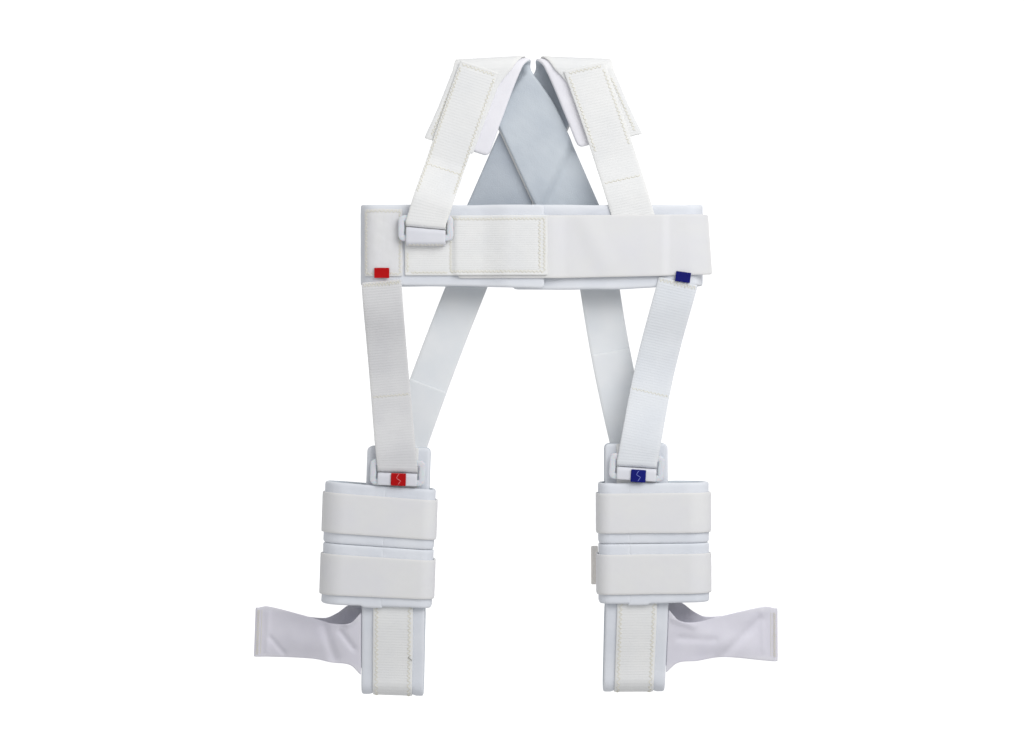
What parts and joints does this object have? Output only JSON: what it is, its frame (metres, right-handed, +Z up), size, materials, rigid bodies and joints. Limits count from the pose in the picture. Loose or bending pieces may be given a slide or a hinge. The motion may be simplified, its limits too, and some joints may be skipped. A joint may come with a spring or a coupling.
{
  "type": "pavlik harness",
  "caption": "Infant hip harness lying flat: closed felt chest band, crossed shoulder straps, front and rear leg straps on flat rings, and soft boots with cuffs and heel loops.",
  "frame": {"origin": "middle of the footprint, on the surface that the harness lies on", "axes": "+X across the chest, +Y from the boots towards the shoulders, +Z up from the surface, out of the front of the harness"},
  "size_m": [0.336, 0.4106, 0.0336],
  "materials": {
    "felt": "brushed felt",
    "webbing": "ribbed loop webbing",
    "smooth_strap": "smooth closure strap",
    "knit_cloth": "thin knit cloth",
    "ring_plastic": "moulded white",
    "red_ribbon": "satin ribbon",
    "blue_ribbon": "satin ribbon"
  },
  "bodies": {
    "root": {"chest_pad": "felt", "chest_webbing": "webbing", "chest_closure": "smooth_strap", "pile_patch": "smooth_strap", "chest_ring": "ring_plastic", "chest_ring_tab": "smooth_strap", "chest_tab_red": "red_ribbon", "chest_tab_blue": "blue_ribbon", "boot_tab_red": "red_ribbon", "boot_tab_blue": "blue_ribbon", "shoulder_pad_left": "felt", "shoulder_webbing_left": "webbing", "front_shoulder_strap_left": "webbing", "front_leg_strap_left": "webbing", "rear_leg_strap_left": "webbing", "stirrup_pad_left": "felt", "stirrup_webbing_left": "webbing", "upper_cuff_left_pad": "felt", "upper_cuff_left_band": "smooth_strap", "lower_cuff_left_pad": "felt", "lower_cuff_left_band": "smooth_strap", "heel_band_left": "knit_cloth", "front_ring_left": "ring_plastic", "rear_ring_left": "ring_plastic", "front_ring_tab_left": "smooth_strap", "rear_ring_tab_left": "smooth_strap", "shoulder_pad_right": "felt", "shoulder_webbing_right": "webbing", "front_shoulder_strap_right": "webbing", "front_leg_strap_right": "webbing", "rear_leg_strap_right": "webbing", "stirrup_pad_right": "felt", "stirrup_webbing_right": "webbing", "upper_cuff_right_pad": "felt", "upper_cuff_right_band": "smooth_strap", "lower_cuff_right_pad": "felt", "lower_cuff_right_band": "smooth_strap", "heel_band_right": "knit_cloth", "front_ring_right": "ring_plastic", "rear_ring_right": "ring_plastic", "front_ring_tab_right": "smooth_strap", "rear_ring_tab_right": "smooth_strap"}
  },
  "joints": []
}
